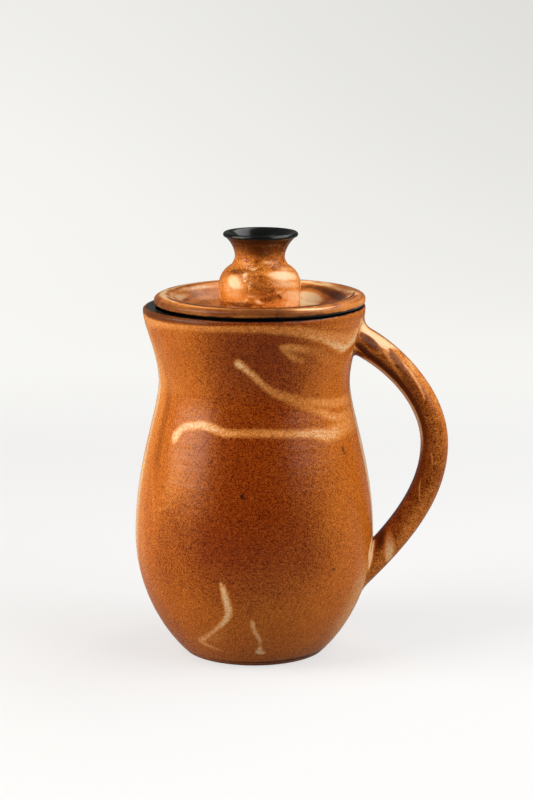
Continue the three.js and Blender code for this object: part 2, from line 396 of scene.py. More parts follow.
def make_object(name, points, faces, attributes):
    """An object of points in millimetres. An attribute is one value for each point, or the same for all."""
    mesh = bpy.data.meshes.new(name)
    mesh.from_pydata((points * MM).tolist(), [], faces)
    for attribute, values in attributes.items():
        layer = mesh.attributes.new(attribute, "FLOAT", "POINT")
        layer.data.foreach_set("value", np.full(len(points), values, np.float32))
    mesh.shade_smooth()
    mesh.validate()
    piece = bpy.data.objects.new(name, mesh)
    scene.collection.objects.link(piece)
    return piece


def revolve(section, around, centre, height, depth):
    """Points and faces of a closed turned form. section runs from axis to axis, counter-clockwise seen with
    the axis on the left, and depth gives how far the clay lies under it, for each row and angle."""
    angle = np.arange(around) * 2 * math.pi / around
    ring = section[1:-1]
    inward = leftward(section)[1:-1]
    sunk = ring[:, None, :] + inward[:, None, :] * depth(ring, angle)[:, :, None]
    x = centre[0] + sunk[:, :, 0] * np.cos(angle)
    y = centre[1] + sunk[:, :, 0] * np.sin(angle)
    z = height + sunk[:, :, 1]
    points = np.column_stack([x.ravel(), y.ravel(), z.ravel()])
    points = np.vstack([points, *((*centre, height + section[end, 1]) for end in (0, -1))])
    return points, closed_faces(len(ring), around)


def closed_faces(rows, around):
    """Faces of rows of points, each of them once round, which the last two points close at the ends."""
    faces = []
    for i in range(rows - 1):
        for j in range(around):
            k = (j + 1) % around
            faces.append((i * around + j, i * around + k, (i + 1) * around + k, (i + 1) * around + j))
    low_pole, high_pole = rows * around, rows * around + 1
    for j in range(around):
        k = (j + 1) % around
        faces.append((low_pole, k, j))
        faces.append((high_pole, (rows - 1) * around + j, (rows - 1) * around + k))
    return faces


def painted_wall_light(points):
    """Painted light and shade on the body, as the tone of its glaze: darker at the front and the back,
    lighter on the handle's side, lightest at the far side's edge, which paints a reflection there, and a
    little lighter on the collar, all as the light falls. Low down the far half is painted darker towards
    the front and the back, and the wall beside the handle lighter.
    Round the foot the tone is nearly even."""
    height = points[:, 2]
    side = points[:, 0] ** 2 / (points[:, 0] ** 2 + points[:, 1] ** 2 + 1)
    far = points[:, 0] < 0
    flank = ~far * ease(0.55, 0.85, side) * (1 - ease(0.93, 0.99, side))
    tone = np.where(far, far_side_painted_light * ease(-0.09, 0.45, side), near_side_painted_light * ease(-0.15, 0.62, side))
    tone += far_edge_painted_reflection * ease(0.84, 0.99, side) * far
    tone += collar_painted_light * ease(115, 145, height) * np.where(far, 1, ease(0.25, 0.6, side))
    tone *= 1 - low_painted_shade * ease(96, 66, height) * far * (1 - ease(0.5, 0.8, side))
    tone += low_flank_painted_light * ease(64, 36, height) * flank
    at_foot = foot_tone + np.where(far, -foot_far_painted_shade * ease(0.3, 0.6, side), foot_flank_painted_light * flank)
    return tone + (at_foot - tone) * ease(64, 16, height)


def turned_points(shift, radius, angle, height):
    """Points at angles in degrees round an axis that stands shifted along X."""
    turn = np.radians(angle)
    return np.column_stack([shift + radius * np.cos(turn), radius * np.sin(turn), height])


def turn_of(points):
    return np.arctan2(points[:, 1], points[:, 0])


def row_values(values, around):
    """One value for each row of a turned form, spread to its points."""
    return np.concatenate([np.repeat(values[1:-1], around), [values[0], values[-1]]])


# Body

def on_body(angle, height):
    """The points of the body's wall at angles in degrees and heights."""
    return turned_points(0, body_radius(height), angle, height)


# Rows of angle, height, half width and strength
shoulder_cream = strokes("""
-138.8 111.4 2.4 75, -138 113.5 3.2 95, -136 116 2.7 85, -132 118.5 2.6 80, -127 119.8 2.6 85,
-121 120.8 2.7 90, -115 120.2 2.7 80, -110 119 2.7 70, -105 118 2.6 60, -100 118.2 2.5 52, -90 118.4 2.5 50,
-80 118.1 2.5 52, -70 117.5 2.5 56, -63 117 2.4 68, -55 116.5 3 72, -50 115.5 3.6 72, -45 114.5 4.2 70,
-40 115 4.8 64, -30 116 5.6 54, -15 117 6 46;
-98.4 152.4 1.9 75, -98 151.2 2.6 88, -95.5 149.4 2.3 80, -93 147.6 2 75, -90 145.5 2.1 70, -87 143 2.1 62,
-84 140.5 2.1 56, -80 138 2.5 48, -75 136 3 45, -70 134.5 3.2 42, -65 133 3.2 40, -60 132 3 40,
-50 130.5 2.6 52, -40 129 2.8 54, -30 128 3.2 52, -15 127.5 4 45;
-70 133 2.4 30, -60 129.5 2.4 36, -52 127 2.4 46, -45 124.5 2.6 58, -40 122.5 2.8 60, -30 121 3.4 54,
-15 121 4.6 45;
-58 125 4 10, -45 125.5 6 15, -30 125 8 18, -10 125 10 20;
-75.5 159.4 1.9 50, -72 159.2 2.4 58, -65 158.2 2.6 50, -60 157.2 2.5 38, -55 156 2.3 30, -50 154 2.9 26,
-40 149 4 22, -30 146 5 20, -15 144 6 20;
-74.5 158.6 1.8 50, -71 155.8 2.1 50, -67 153 2.1 46, -62 151.6 1.9 32;
-71 157 2.2 22, -66 155.5 2.4 20, -60 154.5 2.4 14
""")
rim_cream = strokes("""
-180 164 6.5 55, -165 166 5.5 55, -150 167.6 4.2 55, -138 168.3 3.4 55, -125 168.6 3 52, -112 168.8 2.7 50,
-100 168.9 2.5 46, -88 168.7 2.5 46, -78 168 2.9 47, -68 166.8 3.4 50, -60 165.2 3.6 52, -50 162.8 3.8 54,
-40 160.2 4.2 56, -30 158.6 4.6 60, -20 159.4 5.4 68, -8 160 7 80, 8 160 7 75, 22 161 5 50, 45 165 2.8 45,
80 166.5 2.2 42, 120 167 2.2 42, 160 166 4 46, 180 164 6.5 55;
-70 166.2 1.2 40, -62.5 164.4 1.5 55, -57 162.8 1.7 60, -51.5 161.2 1.9 68, -44 158.6 2.3 78,
-38 156.4 2.7 80, -33 155 3 84, -28 155.2 3 84, -22.5 157 3.2 86, -16 158.6 3.8 95, -8 159 4.8 110,
2 159 5 120, 12 158 4.5 90, 22 159 3.5 50
""")
# Round the handle's roots, pale slip; the two long strokes down the wall between and below them paint
# a reflection along the body's edge beside the handle.
root_cream_and_edge_reflection = strokes("""
-18 166.5 1.6 60, -13 164.5 2.6 100, -9 161.5 3.4 120, -9 157 3.2 110, -13 152.5 2.4 100, -18 149.6 1.5 80;
-2 167 2.6 90, 4 164 3.6 100;
-6 136 4 90, -5 120 5.6 120, -5 104 6.6 140, -5 90 6.4 140, -5 76 5.6 120, -5 62 4.4 110;
-7 52 3.8 90, -8 42 4.4 105, -8 32 4 100, -9 20 3 80;
-7 60 1.2 80, -10 57 2 110, -13 54 2.8 120, -14.5 51 3.2 125, -13 48 2.8 120, -11 45 2 110;
-12 46 2.4 80, -13 42 2.8 75, -15 38 3.2 70, -18 34 3.4 60, -22 30 3.6 50, -25 26 3.6 35
""")
# Down the far side: a pale wash along its edge that is partly a painted reflection, and in the third stroke
# a painted sheen on the belly.
far_side_sheen_and_wash = strokes("""
-174 160 7 80, -172 150 7 95, -171 138 7 100, -171 124 6.5 90, -171 108 6 80, -171 92 6.4 90,
-171 76 6.6 86, -170 60 6.4 78, -168 46 5 45;
-166 156 7 50, -163 142 8 50, -162 126 8 42, -162 104 7 35, -161 84 7 32, -160 62 7 35, -157 46 6 25;
-138 112 5 12, -135 102 7 26, -134 94 7 30, -136 86 6 26, -137 78 4 12
""")
low_cream = strokes("""
-106.4 48.4 0.5 50, -105.8 47 1.1 80, -104.8 45 1.7 95, -103.8 40 2.2 95, -102.9 35 2.4 95,
-102.9 31.5 2.4 95, -105 27.6 2.1 92, -108.5 24.2 1.7 80, -112.5 21 1.5 72, -117 17.6 1.8 70,
-121.5 15 2.2 70, -124.5 13.4 2.2 70, -121 11.6 2 70, -116 10.2 1.7 56, -110 8.8 1.4 30;
-119 16 3 36, -113 16.5 3.6 34, -108 19 3.4 26, -104 22 2.6 15;
-90.6 29.5 0.6 50, -90.8 27 1.2 85, -90 23 1.5 85, -88.2 19.6 1.6 80, -86.8 16.8 1.4 75, -86.2 14 1.1 50,
-86.4 11 1.8 95, -87 9.4 2.2 100, -84.4 8.8 1.8 100
""")
faint_cream = strokes("""
-143.5 77.5 1.3 35, -140 79 1.3 40, -136 80.5 1.2 30;
-141 84 1.5 30, -137 86 1.4 25;
-155 97 1.8 25, -151 88 1.8 30, -147 78 1.8 30, -145 68 1.6 20;
-182 150 9 50, -170 151 8 42, -158 152 7 25, -145 151 6 12;
-182 138 8 50, -172 132 6 40, -166 122 4 25
""")
back_cream = strokes("""
38 60 1.4 80, 44 74 1.9 90, 58 84 1.8 80, 78 86 1.6 60, 100 80 2.2 45;
150 128 1.4 80, 138 120 1.9 80, 118 112 2.4 55, 96 110 3.2 40, 70 113 4 30;
160 44 1.2 80, 166 36 1.6 90, 170 27 1.3 60, 164 20 1.6 40
""")
body_cream_and_sheen = shoulder_cream + rim_cream + root_cream_and_edge_reflection + far_side_sheen_and_wash
body_cream_and_sheen += low_cream + faint_cream + back_cream
body_dark = strokes("""
-180 170.6 2.2 90, -155 170.6 2.3 110, -135 170.7 2.1 105, -118 170.8 1.7 80, -95 170.9 1 40,
-70 170.4 0.8 30, -50 169.6 1.3 35, -30 169 1.4 35, -12 169.2 1.2 30;
-150 138 3.2 20, -150 130 3.6 36, -151 120 3.4 36, -151 112 3 40, -150.5 104 3.2 42, -149 94 3 26,
-147 86 2.6 8
""")
# The first stroke, round the foot's edge, is a painted shadow under the foot; the rest are pits.
pits_and_foot_shadow = strokes("""
-180 1.2 1.1 80, -140 1.2 1.1 70, -120 1.5 1.2 90, -90 1.7 1.4 110, -50 2 1.5 120, 0 1.9 1.5 110,
60 1.5 1.2 90, 120 1.2 1.1 80, 180 1.2 1.1 80;
-95.6 90 0.8 120, -94.9 88.2 0.8 120;
-34.8 107 0.8 100, -34.4 104 0.8 100;
-70 107.5 0.7 70, -69.5 107.1 0.7 70;
-66 127.7 0.6 60, -65.6 127.3 0.6 60;
-50 51.3 0.8 100, -49.5 50.8 0.8 100;
-105 67.2 0.4 60, -104.6 66.8 0.36 60;
-104 62.2 0.3 50, -103.7 61.9 0.3 50;
62 50 0.35 90, 62.8 49 0.3 90;
128 96 0.35 90, 128.6 94 0.3 90
""")


def make_body():
    outer = body_line
    thickness = wall + (lip_thickness - wall) * ease(neck_height, body_height - lip_rise, outer[:, 1])
    inner = inside_of(outer, thickness)
    inner[-1] = (rim_radius - lip_thickness, outer[-1, 1])
    under = np.linspace((0, 0), (foot_radius - foot_bevel, 0), 10)
    lip = lip_arc(outer[-1], inner[-1], np.array([0, 1]), lip_rise, lip_squareness)
    hollow = down_to_floor(inner, floor_thickness, floor_cove, body_inner_step)
    section = np.vstack([under, outer, lip, hollow])
    run = run_along(section)
    foot_edge = run[len(under)]
    lip_top = run[len(under) + len(outer) + 2]
    on_outside = (run > foot_edge) & (run < lip_top)
    on_inside = run > lip_top + lip_thickness

    def depth(ring, angle):
        height = ring[:, 1:]
        lines = throwing_lines(height, angle, body_pitch)
        groove = np.where(on_outside[1:-1], body_groove, np.where(on_inside[1:-1], body_inner_groove, 0.0))
        calm = ease(0, 6, height) * ease(body_height, body_height - 6, height)
        slow = body_wander * ease(2, 12, height) * out_of_round(height, angle)
        return groove[:, None] * calm * lines + np.where(on_outside[1:-1, None], slow, 0)

    points, faces = revolve(section, pot_around, (0, 0), 0, depth)
    near_rim = ease(body_height - rim_dip_reach, body_height, points[:, 2])
    points[:, 2] -= rim_dip * near_rim * towards(points, azimuth=165, spread=45)
    outside = row_values(on_outside * 1.0, pot_around)
    glazed_brown = row_values((run < lip_top + lip_thickness) * 1.0, pot_around)
    brown_climb = lip_brown * towards(points, azimuth=-155, spread=42)
    attributes = {
        "tone": painted_wall_light(points),
        "cream_and_highlight": stroke_cover(points, body_cream_and_sheen, on_body) * outside,
        "dark": stroke_cover(points, body_dark, on_body) * glazed_brown,
        "pit_and_shadow": stroke_cover(points, pits_and_foot_shadow, on_body) * outside,
        "black": row_values(run - lip_top, pot_around) - 0.5 - brown_climb,
        "bare": row_values((run < foot_edge - 0.4) * 1.0, pot_around),
    }
    return make_object("glazed_body", points, faces, attributes)


# Handle

def strap_line(steps=90):
    """The strap's middle line in the XZ plane, its half width and its half thickness, from the upper root's
    tail to the lower one's."""
    upper_height = body_height - upper_root_drop
    upper = np.array([body_radius(upper_height), upper_height])
    lower = np.array([body_radius(lower_root_height) - lower_root_inset, lower_root_height])
    grip = np.array([grip_reach, grip_height])
    leave = slope(-upper_root_angle)
    arrive = slope(180 + lower_root_angle)
    rise = upper[1] - grip[1]
    fall = grip[1] - lower[1]
    above = bend(upper, leave * rise * strap_pulls[0], grip, (0, rise * strap_pulls[1]), steps)
    below = bend(grip, (0, -fall * strap_pulls[2]), lower, -arrive * fall * strap_pulls[3], steps)
    tail_steps = np.linspace(0, root_tail, tail_rows + 1)[1:, None]
    line = np.vstack([upper - leave * tail_steps[::-1], chain(above, below), lower + arrive * tail_steps])
    share = np.linspace(0, 1, steps + 1)
    tail = np.zeros(tail_rows)
    from_root = np.concatenate([tail, share, share[::-1][1:], tail])
    slimming = ease(0, slimming_share, from_root)
    at_root = np.where(np.arange(len(line)) < len(line) / 2, upper_root_thickness, lower_root_thickness)
    half_width = (root_width + (strap_width - root_width) * slimming) / 2
    half_thickness = (at_root + (strap_thickness - at_root) * slimming) / 2
    return line, half_width, half_thickness


def strap_rings(turn):
    """Points on the strap for each step along it and each turn round it. A turn of 0 is the outer face, and
    90 degrees the side towards the camera's side of the pot."""
    line, half_width, half_thickness = strap_line()
    outward = leftward(line)
    uneven = waves(np.arange(len(line)), (47, 81, 29), (0.3, 1.9, 4.0))
    half_width = half_width * (1 + strap_waves * uneven) - strap_wave_room
    through = np.cos(turn)[None, :] * half_thickness[:, None]
    across = np.sign(np.sin(turn)) * np.abs(np.sin(turn)) ** strap_flatness
    x = line[:, :1] + outward[:, :1] * through
    z = line[:, 1:] + outward[:, 1:] * through
    y = -across[None, :] * half_width[:, None]
    return np.stack([x, y, z], axis=2)


def on_strap(share, turn):
    """The points of the strap at shares of its length between the tails and turns in degrees."""
    rings = strap_rings(np.radians(turn))
    at = tail_rows + np.asarray(share) * (len(rings) - 2 * tail_rows - 1)
    low = np.clip(at.astype(int), 0, len(rings) - 2)
    part = (at - low)[:, None]
    each = np.arange(len(at))
    return rings[low, each] * (1 - part) + rings[low + 1, each] * part


# Rows of share of the strap, turn round it, half width and strength
# Pale slip on the strap, whose patch at the upper root is partly a painted highlight; the thin line down the
# outer face and the long line along the inner edge are painted highlights.
strap_cream_and_highlights = strokes("""
-0.03 40 5 120, 0.02 34 5.5 120, 0.06 32 5.4 120, 0.095 28 4.6 110, 0.12 20 3 90, 0.142 12 1.8 50;
0.07 46 2.2 100, 0.092 48 2.2 100, 0.108 50 1.6 80;
-0.03 -30 5 90, 0.04 -30 4.5 90, 0.1 -24 3 60, 0.14 -18 1.6 40;
0.03 84 1.8 35, 0.06 86 2 40, 0.09 84 1.6 30;
0.1 64 1.2 50, 0.125 74 1.3 52, 0.15 85 1.3 48, 0.18 95 1.2 40, 0.21 102 1 25;
-0.03 104 2.6 60, 0.01 108 2.4 70, 0.03 116 1.4 45;
0.15 46 0.7 40, 0.172 52 0.9 62, 0.205 55 1 66, 0.233 58 1 66, 0.28 67 0.9 60, 0.32 78 0.7 45;
0.055 142 1.6 90, 0.1 146 2.5 120, 0.17 149 2.9 135, 0.25 151 3 140, 0.33 153 3 135, 0.4 155 2.8 120,
0.46 158 2.2 90, 0.52 162 1.4 50;
0.515 109 0.5 50, 0.535 103 0.6 65, 0.555 97 0.5 50;
0.62 132 0.5 45, 0.65 126 0.7 65, 0.68 110 0.6 60, 0.7 96 0.6 45;
0.85 144 1.8 40, 0.868 120 2.7 62, 0.888 98 3.2 80, 0.908 76 3.2 85, 0.925 54 2.8 80;
0.92 162 1.1 100, 0.94 143 1.4 120, 0.96 126 1.6 130, 0.98 111 1.5 120, 1 98 1.2 90, 1.03 86 0.9 60;
0.5 -70 0.9 50, 0.6 -60 1.1 60, 0.68 -66 0.8 40
""")
# Painted light on the strap's outer face, where the lamps fall on it, as lighter tone.
strap_painted_light = strokes("""
0.1 28 5 35, 0.18 26 5 60, 0.26 26 4.8 60, 0.34 26 4.6 45, 0.42 26 4.2 30, 0.5 26 4 15;
0.62 50 5 10, 0.7 60 6 25, 0.8 60 6 30, 0.88 50 6 30, 0.95 60 6 30, 1.02 60 6 30
""")
# Dark glaze on the strap, partly painted shade on its inner side towards the wall.
strap_dark_and_shade = strokes("""
-0.005 58 2 50, 0.018 60 2.8 72, 0.045 66 2.9 72, 0.072 74 2.2 50;
-0.02 92 1.5 80, 0.02 102 1.7 95, 0.06 112 1.8 90, 0.12 117 2 90, 0.2 120 2.1 85, 0.3 124 2.1 80,
0.4 129 2.1 75, 0.5 138 2 50, 0.6 148 2 40;
0.118 44 1.5 50, 0.135 54 2.1 62, 0.165 64 2.2 58, 0.2 76 2.1 50, 0.26 92 2.2 40, 0.36 106 2 25;
0 -74 2.6 70, 0.06 -80 3 70, 0.15 -110 2.6 50;
0.87 172 2 60, 0.888 154 2.6 75, 0.905 136 2.6 75, 0.92 120 1.8 45;
0.5 180 1.6 20, 0.6 180 4 40, 0.86 180 3.5 50
""")


def make_handle():
    """The strap between its two fillets onto the wall, where each line along it is trimmed."""
    turn = np.arange(strap_around) * 2 * math.pi / strap_around
    rings = strap_rings(turn)
    middle = strap_line()[0]
    clear = np.hypot(rings[:, :, 0], rings[:, :, 1]) - body_radius(rings[:, :, 2])
    half = len(rings) // 2
    columns = []
    for j in range(strap_around):
        smear = (0.5 + 0.5 * math.cos(turn[j])) ** 3
        along, up = (upper_fillet + more * smear for more in upper_smears)
        upper = wall_fillet(rings[:half, j], clear[:half, j], middle[:half], along, up)
        reach = lower_fillet + smear
        lower = wall_fillet(rings[half:, j][::-1], clear[half:, j][::-1], middle[half:][::-1], reach, reach)
        strap = spaced(np.vstack([upper[fillet_rows:], lower[fillet_rows:][::-1]]), strap_step)
        strap = strap[np.linspace(0, len(strap) - 1, strap_rows).round().astype(int)]
        columns.append(np.vstack([upper[:fillet_rows], strap, lower[:fillet_rows][::-1]]))
    grid = np.stack(columns, axis=1)
    points = np.vstack([grid.reshape(-1, 3), grid[0].mean(axis=0), grid[-1].mean(axis=0)])
    # The strap's rows run the other way round than a turned form's, so its faces are turned over.
    faces = [(first, *rest[::-1]) for first, *rest in closed_faces(len(grid), strap_around)]
    attributes = {
        "tone": strap_tone + stroke_cover(points, strap_painted_light, on_strap),
        "cream_and_highlight": stroke_cover(points, strap_cream_and_highlights, on_strap),
        "dark": stroke_cover(points, strap_dark_and_shade, on_strap),
        "pit_and_shadow": 0,
        "black": no_black,
        "bare": 0,
    }
    return make_object("glazed_handle", points, faces, attributes)


def wall_fillet(line, clear, middle, along, up):
    """One line along the strap, from inside the wall out to the grip: the fillet's points, which sink into
    the wall and run out over it, then the line's own. The fillet reaches along the strap and up the wall,
    away from the strap's middle."""
    out = int(np.argmax(clear > 0))
    share = clear[out - 1] / (clear[out - 1] - clear[out])
    meet = line[out - 1] + (line[out] - line[out - 1]) * share
    core = middle[out - 1] + (middle[out] - middle[out - 1]) * share
    run = np.linalg.norm(line[out:] - meet, axis=1)
    after = out + int(np.argmax(run > along))
    leave = line[after]
    away = meet - np.array([core[0], 0, core[1]])
    normal = np.array([meet[0], meet[1], 0]) / math.hypot(meet[0], meet[1])
    away = away - normal * (away @ normal)
    land = meet + away / np.linalg.norm(away) * up
    land[:2] *= (body_radius(land[2]) - fillet_sink) / math.hypot(land[0], land[1])
    t = np.linspace(1, 0, fillet_rows - 2)[:, None]
    curve = (1 - t) ** 2 * leave + 2 * (1 - t) * t * meet + t**2 * land
    reach = np.hypot(curve[:, 0], curve[:, 1])
    least = body_radius(curve[:, 2]) - fillet_sink
    push = np.maximum(least / reach, 1)
    curve[:, :2] *= push[:, None]
    in_wall, under_skin = ((share, share, 1) for share in (0.96, 0.99))
    return np.vstack([curve[0] * in_wall, curve[0] * under_skin, curve, line[after + 1:]])


# Lid

dish_floor = lid_rim_height - dish_depth
lid_under = lid_low[2] - lid_seat


def dish_line():
    crest = np.array([lid_radius - lid_crest_inset, lid_rim_height])
    run = crest[0] - dish_floor_radius
    return bend(crest, (-run * dish_pulls[0], 0), (dish_floor_radius, dish_floor), (run * dish_pulls[1], 0))


def rim_line():
    edge = (lid_radius, lid_rim_height / 2)
    crest = (lid_radius - lid_crest_inset, lid_rim_height)
    return bend(edge, (0, edge[1] * round_pull), crest, (lid_crest_inset * round_pull, 0))


def on_dish(angle, out):
    """The points of the lid's upper face at angles in degrees and ways out from its axis, which past the
    lid's radius go on down the edge."""
    line = chain(rim_line(), dish_line())[::-1]
    radius = np.minimum(out, lid_radius)
    height = np.interp(radius, line[:, 0], line[:, 1]) - np.maximum(out - lid_radius, 0)
    return turned_points(lid_shift, radius, angle, lid_seat + height)


# Rows of angle, way out, half width and strength
# Pale slip on the lid, with painted highlights and a painted reflection: the streak on the dish's wall
# behind on the left, the line along the crest behind on the right, and the lines on the front of the rim's
# rounding. The pale area on the rim's top on the left is partly painted sheen.
lid_cream_and_highlights = strokes("""
60 37.5 1.8 50, 55 37 3 100, 49 36.4 3.8 120, 42 35.8 3.8 115, 36 35.4 3.2 100, 31 35 2.4 65,
27 34.4 1.8 35;
56 32 4 110, 45 31 4.6 120, 34 31 4.4 110, 24 30.5 3.4 80;
58 27 3 70, 46 26 3.4 95, 34 25 3.4 95, 22 24 3 80;
178 40.8 2 80, 170 39.8 2.8 105, 161 39.4 2.4 90, 152 39.4 1.6 50;
-172 42.2 1.6 80, 176 42.6 1.7 85, 166 42.2 1.3 60;
166 36.6 1.6 35, 154 36 2 45, 142 36.4 2 45, 131 36.8 1.6 35;
152 41.4 1.2 60, 143 41.6 1.8 80, 133 41.6 1.9 85, 124 41.2 1.5 70, 116 41 1.1 40;
74 43.5 0.7 50, 59 43.3 1 95, 48 43.1 1.1 100, 34 42.9 1 90, 22 43 0.9 75, 10 43.5 0.8 70, 0 44.2 0.7 60,
-10 45 0.6 40;
-146 47.8 1.2 45, -160 47.4 1.8 85, -176 47.2 2.2 95, 168 46.8 1.9 80, 152 46.4 1.3 50;
-148 48.7 0.7 40, -137 48.9 0.9 66, -125 49 0.9 66, -112 48.9 0.8 55, -98 48.9 0.6 30;
-74 49.4 0.6 40, -67 49.8 0.9 100, -60 50.3 0.9 110, -53 50.5 0.8 85, -45 50.2 0.6 50;
-66 52.2 1 20, -56 52 1.4 30, -45 51.6 1.8 38, -25 51.6 2.2 50, -5 51.6 2.2 50, 14 51.5 1.6 40;
-40 49.4 0.9 30, -25 49 1.2 42, -8 48.6 1.4 42, 8 48 1.2 30
""")
lid_dark = strokes("""
-170 45.4 0.6 50, -156 46 1.1 75, -136 46.4 1.5 85, -110 46.7 1.8 90, -90 46.8 1.9 90, -70 46.6 1.8 90,
-55 46.4 1.6 90, -40 46.1 1.3 85, -25 45.7 1.1 80, -12 45.5 0.9 65, 0 45.6 0.8 40;
62 40.6 1.2 50, 50 41 1.4 70, 38 40.4 2.2 85, 25 39.8 2.8 90, 12 39.6 3 85, -2 40.4 2.8 80, -14 41.6 2 60;
24 34 3 50, 14 33 3.4 50, 4 35 3 50;
160 44 1 50, 145 44.2 1.2 60, 128 44.2 1.2 60, 112 44 1 50;
-178 51.2 1.8 45, -150 51.4 2.2 60, -125 51.2 2.2 55, -108 50.8 2.4 66, -92 50.5 2.8 85, -78 50.8 2.6 80,
-66 51.8 1.8 50, -54 52.4 1.2 30;
-90 53 1.2 60, -60 53.2 1 50, -30 53.4 0.9 50, 0 53.4 0.8 40;
-156 49.9 0.7 35, -135 50.2 0.8 45, -110 50.2 0.8 40, -90 50.2 0.8 35, -78 50.4 0.6 20;
174 33 2.4 40, 160 33 2 35, 150 33 2 30;
-168 37 1.4 35, -178 37.6 1.4 40, 172 37 1.2 30
""")


def make_lid():
    bowl_foot = (bowl_radius - bowl_corner_rounding, lid_under)
    edge = (lid_radius, lid_rim_height / 2)
    under = np.linspace((0, lid_under), bowl_foot, 10)
    corner = (bowl_corner_rounding * round_pull, 0)
    bowl = spaced(bend(bowl_foot, corner, (bowl_radius, 0), (0, lid_under * round_pull)), bowl_step)
    seat = np.linspace((bowl_radius, 0), (lid_radius - lid_edge_rounding, 0), 6)
    edge_pull = (lid_edge_rounding * round_pull, 0)
    rim = spaced(chain(bend(seat[-1], edge_pull, edge, (0, -edge[1] * round_pull)), rim_line()), rim_step)
    dish = spaced(dish_line(), dish_step)
    floor = np.linspace(dish[-1], (0, dish_floor), 20)
    section = np.vstack([under, bowl[1:], seat[1:], rim[1:], dish[1:], floor[1:]])
    run = run_along(section)
    rim_start = len(under) + len(bowl) + len(seat) - 3
    on_top = np.arange(len(section)) > rim_start + 3

    def depth(ring, angle):
        radius = ring[:, :1]
        lines = throwing_lines(radius, angle, lid_pitch)
        slow = lid_wander * ease(25, 40, radius) * out_of_round(radius * 2, angle + 1.1)
        return np.where(on_top[1:-1, None], lid_groove * ease(20, 30, radius) * lines + slow, 0)

    points, faces = revolve(section, pot_around, (lid_shift, 0), lid_seat, depth)
    top = row_values(on_top * 1.0, pot_around)
    out = np.hypot(points[:, 0] - lid_shift, points[:, 1])
    points[:, 2] -= rim_droop * top * ease(30, 46, out) * towards(points, azimuth=150, spread=75)
    edge_wander = black_wander * np.cos(turn_of(points) + 1.05)
    attributes = {
        "tone": lid_tone - lid_rim_shade * ease(42, 47, out),
        "cream_and_highlight": stroke_cover(points, lid_cream_and_highlights, on_dish) * top,
        "dark": stroke_cover(points, lid_dark, on_dish) * top,
        "pit_and_shadow": 0,
        "black": row_values(run[rim_start] - run, pot_around) + black_rise + edge_wander,
        "bare": 0,
    }
    return make_object("glazed_lid", points, faces, attributes)


# Knob

knob_line = knob_outside()


def on_knob(angle, height):
    """The points of the knob's wall at angles in degrees and heights over its foot."""
    radius = np.interp(height, knob_line[:, 1], knob_line[:, 0])
    return turned_points(lid_shift, radius, angle, knob_low[2] + height)


# Rows of angle, height, half width and strength
# Pale slip on the knob; its patches on the belly, left and right, are partly painted reflections of the
# lamps.
knob_cream_and_highlights = strokes("""
-147 16 2.4 40, -138 16.4 3.4 85, -130 15.4 4 115, -123 14.4 3.6 95, -114 13.8 2.8 50, -106 13.6 2 30;
-154 13 4 45, -140 11.6 5 66, -126 10.2 5.2 66, -112 9.2 3.8 40;
-150 7 3 35, -130 6 3 40, -114 6 2.4 30;
-80 19.6 1.8 40, -72 19.2 2.6 75, -63 18.8 3.2 102, -53 18.5 3.4 115, -43 18.2 3.4 110, -32 17.8 3.2 95,
-22 17 3 70, -10 16 2.6 50;
-50 21 1.4 50, -38 21 1.8 62, -24 20.6 2 60, -8 19.8 2 40;
-68 15.2 1.8 50, -52 14.6 2.8 74, -38 13.8 3 74, -22 13.2 2.6 60;
-57 9.8 2.4 55, -47 9 3.8 76, -36 8 4.8 84, -24 7.4 4.6 84, -10 6.6 3.8 70, 2 6 3 50;
-62 5 1.8 50, -48 5 2.8 70, -34 4.6 3.2 76, -18 4.4 2.8 70;
-97 7.4 0.7 60, -93 6.8 1.1 100, -88.5 6.3 1 90, -83 5.9 0.7 50;
-84 5.6 1.2 35, -76 5.2 1.3 45, -68 5.2 1.2 40;
-146 23.8 0.8 35, -134 23.9 1.1 60, -122 23.9 1 55, -111 23.7 0.7 30;
-86 24.4 0.7 40, -77 24.6 1.1 75, -66 24.5 1 60, -54 24.3 0.8 35;
60 8 3 80, 80 12 3.6 90, 104 10 2.6 60;
160 6 2.2 60, 178 9 3 70, 196 7 2 50;
30 24 0.8 50, 60 23.8 1.1 70, 100 24.2 0.8 50, 150 24 1 60
""")
# Dark mottling on the knob; the stroke at height 30 is painted shade in the neck under the flared lip,
# darkest at the front.
knob_dark_and_shade = strokes("""
-148 20 1.2 35, -137 20.4 1.8 55, -124 20.3 1.9 60, -111 20.8 1.9 52, -100 21 1.6 42, -88 21.8 1.4 36,
-76 22 1.2 30;
-104 15.4 2.2 35, -96 14.6 3 52, -88 13.6 3 55, -80 12.4 2.6 48, -72 11.4 2 35;
-64.5 10 0.6 50, -62 9 0.9 90, -59 8 0.8 70;
-86 7.8 1.8 40, -76 8.2 2.2 55, -68 8.6 1.7 55;
-106 12 2 30, -98 10.6 2.4 40, -86 10 2.4 35;
-165 17 1.4 30, -158 15 1.8 30, -150 9 1.8 25;
-160 4.6 1.2 35, -142 4.4 1.6 55, -126 4.6 1.7 66, -112 4.8 1.7 66, -100 5 1.4 55;
-165 30 3.4 25, -145 30.4 3.6 34, -125 30.6 3.8 46, -106 30.6 4 66, -92 30 4.2 78, -78 29.6 4 70,
-62 30 3.6 55, -45 30 3.2 50, -25 30 3 40;
-180 35 1.8 80, -150 35 2 105, -120 35 2.1 120, -90 35 2.1 120, -60 35 2.1 120, -30 35 1.9 105, 0 35 1.8 80
""")


